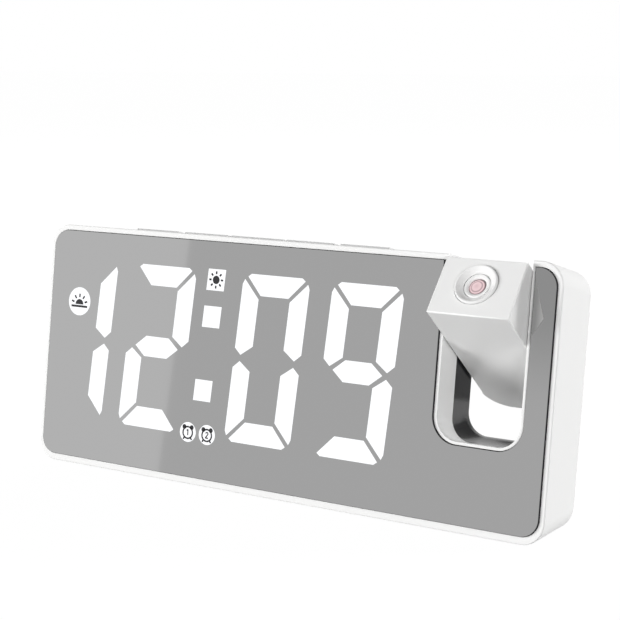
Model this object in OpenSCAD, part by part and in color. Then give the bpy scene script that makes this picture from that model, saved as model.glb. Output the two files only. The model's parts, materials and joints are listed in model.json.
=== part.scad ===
// Projection alarm clock: a slim mirror-fronted clock that leans back on its base, with five keys in its
// top face and a projector arm that turns in a U-shaped window.
//
// World frame: X to the right, Y to the back, Z up, origin on the table under the middle of the base.
// Pieces are drawn in the case's frame: y = 0 is the mirror's face and z = 0 the bottom front edge.
// stand() leans that frame back onto the table. The arm's pieces are drawn with the arm shut, flush in
// its window, and at_arm() tips them about the pivot.

/* [Case] */
// Space between the digits' tops and the case's top edge
top_room = 11.1; // [10.5:0.1:16]
// Space between the last digit and the window
arm_room = 16.8; // [16.5:0.1:30]
// Depth of the case from its front rim to its back
case_d = 20.2; // [20.2:0.1:24]
// Radius of the case's four long edges
corner_r = 7; // [6:0.1:7.5]
// Rounding of the case's front edge
rim_r = 0.5; // [0.3:0.1:0.8]
// Rounding of the case's back edge
edge_r = 1; // [0.5:0.1:1.2]
// Thickness of the case's outer walls
wall = 1.8; // [1.5:0.1:2]
// Angle at which the front leans back
lean = 8; // [6:0.5:9]
// Fall of the top face towards the back
top_fall = 7; // [5:0.5:8]

/* [Mirror] */
// Thickness of the mirror panel
plate_t = 1.6; // [1.4:0.1:1.8]
// How far the panel stands proud of the rim
plate_proud = 0.6; // [0.3:0.1:0.8]
// Width of the white rim at the sides
rim_w = 1.55; // [1.3:0.05:1.7]
// Width of the white rim at the top
rim_top = 1.75; // [1.5:0.05:1.9]
// Width of the white rim at the bottom
rim_bottom = 2.25; // [1.8:0.05:3]
// Gap round the panel
plate_gap = 0.12; // [0.1:0.02:0.3]
// Corner radius of the panel
plate_r = 5.6; // [4:0.1:7]
// Thickness of the wall behind the panel
front_t = 1.6; // [1.4:0.1:1.8]

/* [Window] */
// Width of the window that the arm turns in
win_w = 27; // [26.6:0.1:28]
// Distance from the case's right side to the window
win_margin = 9.7; // [9.5:0.1:10]
// Height of the window's floor above the case's bottom edge
win_floor = 26.6; // [26:0.1:30]
// Radius of the window's bottom corners
win_r = 6.9; // [5:0.1:8]
// Thickness of the window's walls
win_wall = 1.6; // [1.4:0.1:1.7]
// Width of the white rim round the window
win_rim = 0.98; // [0.8:0.02:1.1]
// Depth of the front half of the window's walls
win_split = 9.8; // [9.2:0.1:10.4]

/* [Arm] */
// Thickness of the arm
arm_t = 19.1; // [18.6:0.1:19.8]
// Gap between the arm and the window's walls
arm_gap = 0.45; // [0.4:0.05:0.6]
// Distance from the arm's lens face to its pivot
pivot_drop = 19; // [18.6:0.1:19.6]
// Angle at which the arm rests, tipped forwards
arm_tip = 57.6; // [0:0.1:90]
// Wall of the arm's shell
arm_wall = 1.5; // [1.3:0.1:1.7]
// Thickness of the wall that holds the focus ring
lens_wall_t = 2; // [1.8:0.1:2.4]
// Radius of the arm's lower corners
arm_r = 7.8; // [7.4:0.1:9]
// Radius of the hollow pivot tubes
tube_r = 2.5; // [2.2:0.1:2.7]
// Thickness of the back cover of the arm
arm_cover_t = 1.5; // [1.2:0.1:1.8]

/* [Projector] */
// Radius of the focus ring
ring_r = 6.55; // [6.4:0.05:7]
// Height of the focus ring above the lens face
ring_proud = 0.7; // [0.5:0.1:1]
// Outer radius of the lens cell
cell_r = 4.1; // [4:0.05:4.4]
// Radius of the opening in front of the lens
lens_open_r = 2.7; // [2.4:0.1:3]
// Offset of the lens axis behind the middle of the arm
lens_back = 0.8; // [0:0.1:1]
// Offset of the lens axis to the left of the middle of the arm
lens_left = 0.5; // [0:0.1:0.7]

/* [Display] */
// Width of a digit
digit_w = 25.15; // [24:0.05:25.5]
// Height of a digit
digit_h = 53.5; // [50:0.1:54]
// Width of a segment
stroke = 6.7; // [6:0.1:7.2]
// Sideways lean of the digits, per unit of height
slant = 0.064; // [0:0.002:0.08]
// Height of the digits' feet above the case's bottom edge
digit_z = 16; // [15.6:0.1:16.6]
// Space between the case's left side and the first digit's place
digit_margin = 1.7; // [1.4:0.1:2]
// Space between the two hour digits
hour_gap = 7.4; // [6.8:0.1:7.8]
// Space for the colon between hours and minutes
colon_gap = 18.6; // [18:0.1:19]
// Space between the two minute digits
minute_gap = 8.2; // [7.6:0.1:8.6]
// Side of the colon squares
dot_w = 6.85; // [6:0.05:7]

/* [Keys] */
// Distance from the case's left side to the middle of the middle key
key_mid = 79.5; // [79:0.1:82]
// Width of the four small keys
key_w = 17.4; // [15:0.1:17.6]
// Width of the middle key
key_mid_w = 20; // [18:0.1:20.4]
// Distance between the keys' middles
key_pitch = 20.2; // [20:0.1:21]
// Depth of a key
key_d = 4.8; // [4.4:0.1:5]
// How far a key stands above the top face
key_proud = 1.3; // [1:0.1:1.6]
// Travel of a key
key_travel = 0.5; // [0.3:0.05:0.55]

/* [Base] */
// Width of the anti-slip pad
pad_w = 150; // [100:1:160]
// Depth of the anti-slip pad
pad_d = 16; // [14:0.1:17]
// Thickness of the anti-slip pad
pad_t = 1.2; // [1.1:0.05:1.3]
// How far the pad stands below the case
pad_proud = 0.5; // [0.4:0.05:0.6]

/* [Electronics] */
// Thickness of the circuit boards
board_t = 1.6; // [1.4:0.1:1.8]
// Depth of the digit frame
frame_t = 5.4; // [5.2:0.1:5.6]
// Gap between the two boards
board_gap = 2.2; // [2.2:0.1:2.4]
// Radius of the coin cell
cell_disc_r = 10; // [9:0.1:10]
// Thickness of the coin cell
cell_disc_t = 3.2; // [2.4:0.1:3.2]
// Distance from the case's left side to the coin cell
cell_margin = 50; // [40:1:60]
// Height of the coin cell and buzzer above the case's bottom edge
cell_z = 27; // [24:0.5:28]
// Distance between the coin cell and the buzzer
buzzer_space = 50; // [30:1:55]
// Radius of the buzzer
buzzer_r = 6.5; // [5:0.5:8]
// Height of the main board
board2_h = 27; // [26:0.5:28]
// Distance from the right column of bosses to the power inlet
inlet_margin = 17; // [15:1:24]
// Width of the lamp's board
led_board_w = 15.5; // [13:0.5:16]
// Width of the power inlet
inlet_w = 9; // [8.9:0.05:9.2]
// Height of the power inlet
inlet_h = 3.3; // [3.2:0.05:3.5]

/* [Hidden] */

$fn = 48;
eps = 0.01;                                 // overlap of joined solids
far = 400;                                  // longer than any piece
slide_fit = 0.05;                           // radial clearance of parts that are pushed together
run_fit = 0.08;                             // radial clearance of parts that turn or slide
cover_fit = 0.15;                           // clearance round the covers

case_w = digit_margin + 4 * digit_w + hour_gap + colon_gap + minute_gap + arm_room + win_w + win_margin;
case_h = digit_z + digit_h + top_room;
half_w = case_w / 2;
lip = plate_proud;                          // the rim's front face
pocket = plate_t;                           // the wall that the panel is stuck to
front_in = pocket + front_t;                // inner face of the front wall
back = lip + case_d;                        // the case's back
cover_t = wall;
cover_in = back - cover_t;                  // inner face of the rear cover
base_d = case_d / cos(lean);
function floor_out(y) = (y - lip) * tan(lean);
function floor_in(y) = floor_out(y) + wall / cos(lean);
function roof_out(y) = case_h - (y - lip) * tan(top_fall);
function roof_in(y) = roof_out(y) - wall / cos(top_fall);

plate_half = half_w - rim_w - plate_gap;
plate_z0 = rim_bottom + plate_gap;
plate_z1 = case_h - rim_top - plate_gap;

win_x1 = half_w - win_margin;
win_x0 = win_x1 - win_w;
win_x = (win_x0 + win_x1) / 2;
split_y = lip + win_split;

arm_x0 = win_x0 + arm_gap;
arm_x1 = win_x1 - arm_gap;
arm_z0 = win_floor + arm_gap;
pivot_y = arm_t / 2;
pivot_z = case_h - pivot_drop;
swing_r = sqrt(pow(pivot_z - arm_z0, 2) + pow(arm_t / 2, 2)) + arm_gap;
bush_r = tube_r + 1.05;
washer_t = 0.6;                             // friction washers and tube heads, inside the case
head_t = 0.7;
cable_r = 0.9;
lead_r = 0.8;
bend_extra = 0.02;                          // the round bends stand this far proud of the straights
cable_end = arm_x0 + arm_wall + 1.5;
arm_boss_end = arm_wall + 2.5;              // inner end of the bosses that hold the pivot tubes
arm_in_top = case_h - lens_wall_t;
arm_cover_y = arm_t - arm_cover_t;

lens_x = win_x - lens_left;
lens_y = arm_t / 2 + lens_back;
sleeve_t = 1;
barrel_t = 1.6;
sleeve_r = cell_r + run_fit + sleeve_t;     // outer radius of the focus ring's sleeve
barrel_r = cell_r + run_fit + barrel_t;     // outer radius of the lamp barrel
barrel_bore = cell_r + run_fit;
barrel_len = 26.5;
barrel_drop = 4.1;                          // the barrel's top and the cell's key, below the lens face
key_tab_drop = 10.6;
barrel_z1 = case_h - barrel_drop;
barrel_z0 = barrel_z1 - barrel_len;
lens_cell_len = 15.7;
lens_r = cell_r - 0.65;
lens_curve = 6;
lens_apex = -0.8;                             // heights over the lens face: the lens,
cell_top = -0.45;                             // the cell's face,
lip_under = -1.4;                             // the underside of its lip,
lens_under = -4.6;                            // and its shoulder under the lens

digit_x = [-half_w + digit_margin,
    -half_w + digit_margin + digit_w + hour_gap,
    -half_w + digit_margin + 2 * digit_w + hour_gap + colon_gap,
    -half_w + digit_margin + 3 * digit_w + hour_gap + colon_gap + minute_gap];
dot_x = digit_x[1] + digit_w + 4.66;        // left edge of the colon squares at the digits' feet
dot_z = [11.4, 35.2, 47.1];                 // squares above the digits' feet
sign_half_r = 4.75;                         // half-day disc
sign_alarm_r = 3.25;                        // alarm discs
signs = [[digit_x[0] + 12.5, digit_z + 38.95, sign_half_r],
    [dot_x - 0.45, digit_z + 0.85, sign_alarm_r],
    [dot_x + 7.2, digit_z + 0.85, sign_alarm_r]];
frame_x0 = -half_w + 8;
frame_x1 = digit_x[3] + digit_w + slant * digit_h + 4.8;
frame_z0 = digit_z - 5.6;
frame_z1 = digit_z + digit_h + 1.7;
aperture_in = 0.6;                          // the frame overlaps the wall behind the mirror by this

board_y = front_in + frame_t;               // front of the display board
board2_y = board_y + board_t + board_gap;   // front of the main board
board_end = board2_y + board_t;
board_x0 = -half_w + 3.4;
board_x1 = win_x0 - win_wall - 1.3;
board_z0 = 5.3;
column_l = -half_w + 5.4;                   // the two columns of bosses beside the display
column_r = win_x0 - win_wall - 4.1;
board_boss_r = 2;
case_boss_r = 2.4;
screw_r = 1.15;
screw_head_r = 2.2;

key_names = ["projector", "alarm", "snooze", "down", "up"];
key_y = lip + 10;
function key_x(i) = -half_w + key_mid + (i - 2) * key_pitch;
function key_width(i) = i == 2 ? key_mid_w : key_w;
key_gap = 0.2;
flange_t = 0.8;
key_foot = roof_in(key_y + key_d / 2 + flange_t) - 0.95;
switch_top = key_foot - key_travel - 0.05;
switch_h = 3.5;
plunger_h = 0.8;
board2_z1 = key_foot - key_travel - 0.75;
board_z1 = switch_top - plunger_h - switch_h - 0.6;
board2_z0 = board2_z1 - board2_h;
board_posts = [board_z0 + 16.7, board2_z0 + 4.5, board_z1 - 2.3];   // heights of the board bosses
case_posts = [[column_l, 9.5], [column_l, (board_posts[1] + board_posts[2]) / 2],
    [(column_l + column_r) / 2, 7.4], [column_r, 9.5], [column_r, board_posts[0] + 14],
    [half_w - 4.4, 12], [half_w - 4.4, case_h - 10.6]];

cell_x = -half_w + cell_margin;
door_w = 2 * cell_disc_r + 7;
door_h = 2 * cell_disc_r + 5;
door_t = 1.4;
door_screw_at = [cell_x + door_w / 2 - 2.7, cell_z - door_h / 2 + 2.7];
buzzer_x = cell_x + buzzer_space;
plug_x = column_r - 5;
inlet_x = column_r - inlet_margin;
inlet_z = board2_z0 + 8;
chip_w = 10;
chip_t = 1.4;
chip_x = cell_x - chip_w / 2;

// ---------- shared forms ----------

module stand() {
    translate([0, -base_d / 2, pad_proud]) rotate([-lean, 0, 0]) translate([0, -lip, 0]) children();
}

// Turns the shut arm about its pivot.
module at_arm() {
    stand() translate([0, pivot_y, pivot_z]) rotate([arm_tip, 0, 0]) translate([0, -pivot_y, -pivot_z])
        children();
}

// Extrudes an outline drawn in X and Z from one depth to another.
module slab(y0, y1) {
    translate([0, y1, 0]) rotate([90, 0, 0]) linear_extrude(y1 - y0) children();
}

// Extrudes an outline drawn in Y and Z from one x to another.
module bar(x0, x1) {
    translate([x0, 0, 0]) rotate([90, 0, 90]) linear_extrude(x1 - x0) children();
}

module post(x, z, r, y0, y1) {
    translate([x, y1, z]) rotate([90, 0, 0]) cylinder(r = r, h = y1 - y0);
}

module axle(x0, x1, r) {
    translate([x0, pivot_y, pivot_z]) rotate([0, 90, 0]) cylinder(r = r, h = x1 - x0);
}

module rod(a, b, r) {
    d = b - a;
    translate(a) rotate([0, acos(d[2] / norm(d)), atan2(d[1], d[0])]) cylinder(r = r, h = norm(d));
}

module rounded(x0, z0, x1, z1, r) {
    translate([x0 + r, z0]) square([x1 - x0 - 2 * r, z1 - z0]);
    translate([x0, z0 + r]) square([x1 - x0, z1 - z0 - 2 * r]);
    for (x = [x0 + r, x1 - r], z = [z0 + r, z1 - r]) translate([x, z]) circle(r = r);
}

// Rings of a rounded edge: how far each lies from the edge's plane and how far it is drawn in.
function edge_rings(r) = [for (a = r > 0 ? [0, 30, 60, 90] : [0]) [r - r * cos(a), r - r * sin(a)]];

// The case's outer form, drawn in by inset, between two depths, with its front and back edges rounded.
module case_form(inset, y0, y1, front_r = 0, back_r = 0) {
    rings = [for (e = edge_rings(front_r)) [y0 + e[0], inset + e[1]],
        for (e = edge_rings(back_r)) [y1 - e[0] - eps, inset + e[1]]];
    hull() for (g = rings) slab(g[0], g[0] + eps)
        rounded(-half_w + g[1], floor_out(g[0]) + g[1] / cos(lean), half_w - g[1],
            roof_out(g[0]) - g[1] / cos(top_fall), corner_r - g[1]);
}

// The window's outline, grown by off.
module window_outline(off) {
    r = win_r + off;
    translate([win_x0 - off, win_floor - off + r]) square([win_w + 2 * off, far / 2]);
    translate([win_x0 - off + r, win_floor - off]) square([win_w + 2 * off - 2 * r, far / 2]);
    for (x = [win_x0 - off + r, win_x1 + off - r]) translate([x, win_floor - off + r]) circle(r = r);
}

// The space that the arm sweeps, grown by off: a straight window with a floor hollowed round the pivot.
module window_form(off, y0, y1) {
    r = win_r + off;
    reach = swing_r + off;
    intersection() {
        union() {
            slab(y0, y1) window_outline(off);
            translate([win_x0 - off, pivot_y, pivot_z]) rotate([0, 90, 0]) rotate_extrude($fn = 96) {
                square([reach - r, win_w + 2 * off]);
                translate([0, r]) square([reach, win_w + 2 * off - 2 * r]);
                for (t = [r, win_w + 2 * off - r]) translate([reach - r, t]) circle(r = r);
            }
        }
        translate([-far / 2, y0, -far / 2]) cube([far, y1 - y0, far]);
    }
}

module arm_outline(inset, top) {
    r = arm_r - inset;
    translate([arm_x0 + inset, arm_z0 + arm_r]) square([arm_x1 - arm_x0 - 2 * inset, top - arm_z0 - arm_r]);
    translate([arm_x0 + arm_r, arm_z0 + inset]) square([arm_x1 - arm_x0 - 2 * arm_r, top - arm_z0 - inset]);
    for (x = [arm_x0 + arm_r, arm_x1 - arm_r]) translate([x, arm_z0 + arm_r]) circle(r = r);
}

module screw(x, z, y_head, head_t, reach) {
    post(x, z, screw_head_r, y_head, y_head + head_t);
    post(x, z, screw_r, y_head - reach, y_head + eps);
}

// ---------- the display's segments ----------

tip = 1.8;                                  // cut-back of a segment's outer corners
nose = 0.9;                                 // rounding step at the outer corners
mitre = 0.65;                               // half of the gap between segments
middle = digit_h / 2;

// A segment's corners in the upright digit: a is the top bar, f the upper left bar and g the middle bar.
bar_a = [[tip, digit_h - nose], [tip + 1.2, digit_h], [digit_w - tip - 1.2, digit_h],
    [digit_w - tip, digit_h - nose], [digit_w - stroke - mitre, digit_h - stroke],
    [stroke + mitre, digit_h - stroke]];
bar_f = [[nose - 0.2, digit_h - tip], [0, digit_h - tip - 1.5], [0, middle + 3.1], [2.4, middle + 1],
    [stroke, middle + stroke / 2 + mitre], [stroke, digit_h - stroke - mitre - 0.5]];
bar_g = [[tip + 1.9, middle], [stroke + 1.1, middle + stroke / 2], [digit_w - stroke - 1.4, middle + stroke / 2],
    [digit_w - tip - 2.1, middle], [digit_w - stroke - 1.4, middle - stroke / 2],
    [stroke + 1.1, middle - stroke / 2]];
function flip_x(pts) = [for (p = pts) [digit_w - p[0], p[1]]];
function flip_z(pts) = [for (p = pts) [p[0], digit_h - p[1]]];
segments = [bar_a, flip_x(bar_f), flip_x(flip_z(bar_f)), flip_z(bar_a), flip_z(bar_f), bar_f, bar_g];
function segment_list(i) = i == 0 ? [1, 2] : [for (k = [0:6]) k];

module segment_shape(i, k) {
    polygon([for (p = segments[k]) [digit_x[i] + p[0] + slant * p[1], digit_z + p[1]]]);
}

module dot_shape(z) {
    polygon([for (c = [[0, 0], [1, 0], [1, 1], [0, 1]])
        [dot_x + slant * (z + c[1] * dot_w) + c[0] * dot_w, digit_z + z + c[1] * dot_w]]);
}

module all_windows() {
    for (i = [0:3]) for (k = segment_list(i)) segment_shape(i, k);
    for (z = dot_z) dot_shape(z);
    for (s = signs) translate([s[0], s[1]]) circle(r = s[2]);
}

// ---------- case ----------

module front_housing() {
    color("white") difference() {
        stand() difference() {
            union() {
                difference() {
                    case_form(0, lip, back, rim_r, edge_r);
                    case_form(wall, front_in, back + 1);
                }
                intersection() {
                    window_form(win_wall, lip, split_y);
                    case_form(eps, lip, split_y, rim_r);
                }
                for (z = board_posts, x = [column_l, column_r])
                    post(x, z, board_boss_r, front_in - eps, board_y);
                for (p = case_posts) post(p[0], p[1], case_boss_r, front_in - eps, cover_in);
            }
            slab(lip - 1, pocket) difference() {
                rounded(-plate_half - plate_gap, plate_z0 - plate_gap, plate_half + plate_gap,
                    plate_z1 + plate_gap, plate_r + plate_gap);
                window_outline(win_rim);
            }
            window_form(0, lip - 1, back + 1);
            slab(pocket - 1, front_in + eps)
                rounded(frame_x0 + aperture_in, frame_z0 + 2, frame_x1 - aperture_in, frame_z1 - aperture_in, 1);
            for (i = [0:4]) key_slot(i);
            axle(win_x0 - win_wall - 1, win_x1 + win_wall + 1, bush_r + slide_fit);
            for (z = board_posts, x = [column_l, column_r])
                post(x, z, screw_r + slide_fit, front_in + 0.6, board_y + eps);
            for (p = case_posts) post(p[0], p[1], screw_r + slide_fit, cover_in - 8, cover_in + eps);
        }
        translate([-pad_w / 2 - cover_fit, -pad_d / 2 - cover_fit, -1])
            cube([pad_w + 2 * cover_fit, pad_d + 2 * cover_fit, pad_t + 1]);
    }
}

module key_slot(i) {
    translate([key_x(i) - key_width(i) / 2 - key_gap, key_y - key_d / 2 - key_gap, roof_in(key_y) - 3])
        cube([key_width(i) + 2 * key_gap, key_d + 2 * key_gap, 8]);
}

module mirror_panel() {
    color("silver") stand() slab(0, plate_t) difference() {
        rounded(-plate_half, plate_z0, plate_half, plate_z1, plate_r);
        window_outline(win_rim + plate_gap);
    }
}

module window_liner() {
    color([0.1, 0.1, 0.11]) stand() difference() {
        intersection() {
            union() {
                window_form(win_wall, split_y, back);
                window_form(win_wall + 1.1, cover_in - 1.2, cover_in);
            }
            case_form(wall + cover_fit, split_y, back);
        }
        window_form(0, split_y - 1, back + 1);
        axle(win_x0 - win_wall - 3, win_x1 + win_wall + 3, bush_r + slide_fit);
    }
}

module rear_cover() {
    color("white") stand() difference() {
        union() {
            case_form(wall + cover_fit, cover_in, back);
            post(door_screw_at[0], door_screw_at[1], case_boss_r, cover_in - 3, cover_in + eps);
        }
        window_form(win_wall + cover_fit, cover_in - 5, back + 1);
        for (p = case_posts) {
            post(p[0], p[1], screw_r + slide_fit, cover_in - 1, back + 1);
            post(p[0], p[1], screw_head_r + slide_fit, back - 1, back + 1);
        }
        slab(back - door_t, back + 1) door_outline(cover_fit);
        post(cell_x, cell_z, cell_disc_r + 0.4, cover_in - 1, back);
        post(door_screw_at[0], door_screw_at[1], screw_r + slide_fit, cover_in - 2.4, back);
        for (i = [-2:2]) slab(cover_in - 1, back + 1)
            rounded(buzzer_x - buzzer_r + 2.5, cell_z - 0.5 + 2.2 * i, buzzer_x + buzzer_r - 2.5,
                cell_z + 0.5 + 2.2 * i, 0.49);
        slab(cover_in - 1, back + 1) inlet_outline(0.3);
    }
}

module door_outline(off) {
    rounded(cell_x - door_w / 2 - off, cell_z - door_h / 2 - off, cell_x + door_w / 2 + off,
        cell_z + door_h / 2 + off, 2 + off);
}

module battery_door() {
    color("white") stand() difference() {
        slab(back - door_t, back) door_outline(0);
        post(door_screw_at[0], door_screw_at[1], screw_r + slide_fit, cover_in - 1, back + 1);
        post(door_screw_at[0], door_screw_at[1], screw_head_r + slide_fit, back - 0.8, back + 1);
        for (i = [-1:1]) slab(back - 0.4, back + 1)
            rounded(cell_x - 5, cell_z + 7 + 1.6 * i, cell_x + 5, cell_z + 7.8 + 1.6 * i, 0.39);
    }
}

module door_screw() {
    color("silver") stand() screw(door_screw_at[0], door_screw_at[1], back - 0.8, 0.7, 2.8);
}

module case_screws() {
    color("silver") stand() for (p = case_posts) screw(p[0], p[1], back - 1, 0.9, 7);
}

module base_pad() {
    color([0.2, 0.2, 0.2]) translate([-pad_w / 2, -pad_d / 2, 0]) cube([pad_w, pad_d, pad_t]);
}

// ---------- display and electronics ----------

module segment_diffuser() {
    color("white") stand() {
        slab(front_in - 0.4, front_in) rounded(frame_x0 + aperture_in + cover_fit, frame_z0 + 2 + cover_fit,
            frame_x1 - aperture_in - cover_fit, frame_z1 - aperture_in - cover_fit, 1);
        slab(pocket, front_in - 0.4 + eps) all_windows();
    }
}

module digit_frame() {
    color("gainsboro") stand() slab(front_in, board_y) difference() {
        rounded(frame_x0, frame_z0, frame_x1, frame_z1, 1);
        all_windows();
    }
}

// The parts of both boards that other pieces pass through.
module board_openings() {
    for (p = case_posts) translate([p[0], p[1]]) circle(r = case_boss_r + 0.6);
    for (z = board_posts, x = [column_l, column_r]) translate([x, z]) circle(r = screw_r + slide_fit);
    translate([plug_x - 1.6, pivot_z - 4.8]) square([20, 9.6]);
}

module display_board() {
    color("darkgreen") stand() slab(board_y, board_y + board_t) difference() {
        rounded(board_x0, board_z0, board_x1, board_z1, 2);
        board_openings();
    }
}

module led_at(x, z) {
    translate([x - 0.8, board_y - 0.8, z - 0.6]) cube([1.6, 0.8, 1.2]);
}

module display_leds() {
    lamp = 4.5;
    color("ivory") stand() {
        for (i = [0:3]) for (k = segment_list(i)) {
            pts = segments[k];
            mid = [for (axis = [0, 1]) (pts[0][axis] + pts[1][axis] + pts[2][axis] + pts[3][axis]
                + pts[4][axis] + pts[5][axis]) / 6];
            upright = k == 1 || k == 2 || k == 4 || k == 5;
            for (s = [-1, 1]) led_at(digit_x[i] + mid[0] + slant * mid[1] + (upright ? 0 : s * lamp),
                digit_z + mid[1] + (upright ? s * lamp : 0));
        }
        for (z = dot_z) led_at(dot_x + slant * z + dot_w / 2, digit_z + z + dot_w / 2);
        for (s = signs) led_at(s[0], s[1]);
    }
}

module board_spacers() {
    color("ivory") stand() for (k = [1, 2], x = [column_l, column_r]) difference() {
        post(x, board_posts[k], board_boss_r, board_y + board_t, board2_y);
        post(x, board_posts[k], screw_r + slide_fit, board_y, board2_y + 1);
    }
}

module main_board() {
    color("darkgreen") stand() slab(board2_y, board_end) difference() {
        rounded(board_x0, board2_z0, board_x1, board2_z1, 1.5);
        board_openings();
    }
}

module clock_chips() {
    color([0.12, 0.12, 0.12]) stand() {
        translate([chip_x, board_end, inlet_z + 1]) cube([chip_w, chip_t, chip_w]);
        translate([chip_x + 2.8 * chip_w, board_end, inlet_z + 4]) cube([chip_w * 0.6, chip_t, chip_w / 2]);
    }
}

crystal_r = 1.5;

module watch_crystal() {
    color("silver") stand() translate([chip_x + 4.2 * chip_w, board_end + crystal_r, inlet_z + 6])
        rotate([0, 90, 0]) cylinder(r = crystal_r, h = 4 * crystal_r);
}

switch_w = 6;
switch_d = 3.6;

module tact_switches() {
    color("dimgray") stand() for (i = [0:4]) {
        translate([key_x(i) - switch_w / 2, board2_y - switch_d, switch_top - plunger_h - switch_h]) cube([switch_w, switch_d, switch_h]);
        translate([key_x(i), board2_y - switch_d / 2, switch_top - plunger_h - eps]) cylinder(r = 1, h = plunger_h + eps);
    }
}

link_h = 2.5;
link_z = inlet_z + 4;

module board_link() {
    color([0.15, 0.15, 0.15]) stand()
        translate([chip_x + 2 * chip_w, board_y + board_t, link_z]) cube([2 * chip_w, board_gap, link_h]);
}

module board_screws() {
    color("silver") stand() for (x = [column_l, column_r]) {
        screw(x, board_posts[0], board_y + board_t, 1.3, board_t + 4.4);
        for (k = [1, 2]) screw(x, board_posts[k], board_end, 1.3, 2 * board_t + board_gap + 4.4);
    }
}

module inlet_outline(off) {
    rounded(inlet_x - inlet_w / 2 - off, inlet_z - inlet_h / 2 - off, inlet_x + inlet_w / 2 + off,
        inlet_z + inlet_h / 2 + off, inlet_h / 2 - 0.05 + off);
}

module power_inlet() {
    color("silver") stand() {
        difference() {
            slab(board_end, back - 0.3) inlet_outline(0);
            slab(board_end + 1, back + 1) inlet_outline(-0.35);
        }
        translate([inlet_x - 3.3, board_end + 1 - eps, inlet_z - 0.35]) cube([6.6, back - board_end - 2.2, 0.7]);
    }
}

module buzzer() {
    color([0.12, 0.12, 0.12]) stand() difference() {
        post(buzzer_x, cell_z, buzzer_r, cover_in - 4.4, cover_in);
        post(buzzer_x, cell_z, buzzer_r - 1.7, cover_in - 0.8, cover_in + 1);
    }
}

module cell_holder() {
    color([0.15, 0.15, 0.15]) stand() difference() {
        post(cell_x, cell_z, cell_disc_r + 1.5, cover_in - cell_disc_t - 1.6, cover_in);
        post(cell_x, cell_z, cell_disc_r + 0.2, cover_in - cell_disc_t - 0.6, cover_in + 1);
    }
}

module coin_cell() {
    color("silver") stand() post(cell_x, cell_z, cell_disc_r, back - door_t - 0.1 - cell_disc_t, back - door_t - 0.1);
}

module cell_contact() {
    y0 = cover_in - cell_disc_t - 0.6;
    color("gold") stand() {
        post(cell_x, cell_z, 6, y0, y0 + 0.3);
        post(cell_x, cell_z, 3, y0 + 0.3 - eps, back - door_t - 0.1 - cell_disc_t);
    }
}

// ---------- keys ----------

// One key: a cap through the top face, a foot over its switch and a flange that keeps it in.
module key(i) {
    y0 = key_y - key_d / 2;
    y1 = key_y + key_d / 2;
    color("whitesmoke") stand() {
        bar(key_x(i) - key_width(i) / 2, key_x(i) + key_width(i) / 2)
            polygon([[y0, key_foot], [y1, key_foot], [y1, roof_out(y1) + key_proud], [y0, roof_out(y0) + key_proud]]);
        bar(key_x(i) - key_width(i) / 2, key_x(i) + key_width(i) / 2)
            polygon([for (c = [[y0 - flange_t, flange_t], [y1 + flange_t, flange_t], [y1 + flange_t, 0],
                [y0 - flange_t, 0]]) [c[0], roof_in(c[0]) - 0.15 - c[1]]]);
    }
}

module key_projector() { key(0); }
module key_alarm() { key(1); }
module key_snooze() { key(2); }
module key_down() { key(3); }
module key_up() { key(4); }

// ---------- pivot ----------

module pivot_bushes() {
    color([0.2, 0.2, 0.2]) stand() for (side = [0, 1]) difference() {
        inner = side == 0 ? win_x0 : win_x1;
        out = side == 0 ? -1 : 1;
        union() {
            axle(min(inner, inner + out * win_wall), max(inner, inner + out * win_wall), bush_r);
            axle(min(inner, inner - out * 0.3), max(inner, inner - out * 0.3), bush_r + 1);
        }
        axle(inner - 3, inner + 3, tube_r + slide_fit);
    }
}

module friction_washers() {
    color("silver") stand() for (side = [0, 1]) difference() {
        wall_out = side == 0 ? win_x0 - win_wall : win_x1 + win_wall;
        out = side == 0 ? -1 : 1;
        axle(min(wall_out, wall_out + out * washer_t), max(wall_out, wall_out + out * washer_t), bush_r + 0.5);
        axle(wall_out - 2, wall_out + 2, tube_r + slide_fit);
    }
}

module pivot_tubes() {
    color("silver") at_arm() for (side = [0, 1]) difference() {
        out = side == 0 ? -1 : 1;
        head = side == 0 ? win_x0 - win_wall - washer_t - 0.05 : win_x1 + win_wall + washer_t + 0.05;
        inner = side == 0 ? arm_x0 + arm_boss_end : arm_x1 - arm_boss_end;
        union() {
            axle(min(head, inner), max(head, inner), tube_r);
            axle(min(head, head + out * head_t), max(head, head + out * head_t), tube_r + 1.2);
        }
        axle(min(head, inner) - 3, max(head, inner) + 3, tube_r - 1);
    }
}

module arm_cable() {
    a = [cable_end, pivot_y, pivot_z];
    b = [column_r - 0.3, pivot_y, pivot_z];
    c = [plug_x, board2_y - board_gap / 2, pivot_z - 2.1];
    d = [plug_x, board2_y - board_gap / 2, pivot_z - 7.6];
    color("dimgray") stand() {
        rod(a, b, cable_r);
        translate(b) sphere(r = cable_r + bend_extra);
        rod(b, c, cable_r);
        translate(c) sphere(r = cable_r + bend_extra);
        rod(c, d, cable_r);
    }
}

module arm_plug() {
    color("ivory") stand() translate([plug_x - 2.2, board_y + board_t, pivot_z - 12])
        cube([4.4, board_gap, 4.4]);
}

// ---------- arm ----------

arm_posts = [[arm_x0 + arm_wall + 2.35, case_h - 7], [arm_x1 - arm_wall - 2.35, case_h - 7],
    [win_x, arm_z0 + 5]];
rib_zs = [barrel_z0 + 2, barrel_z1 - 6];

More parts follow.
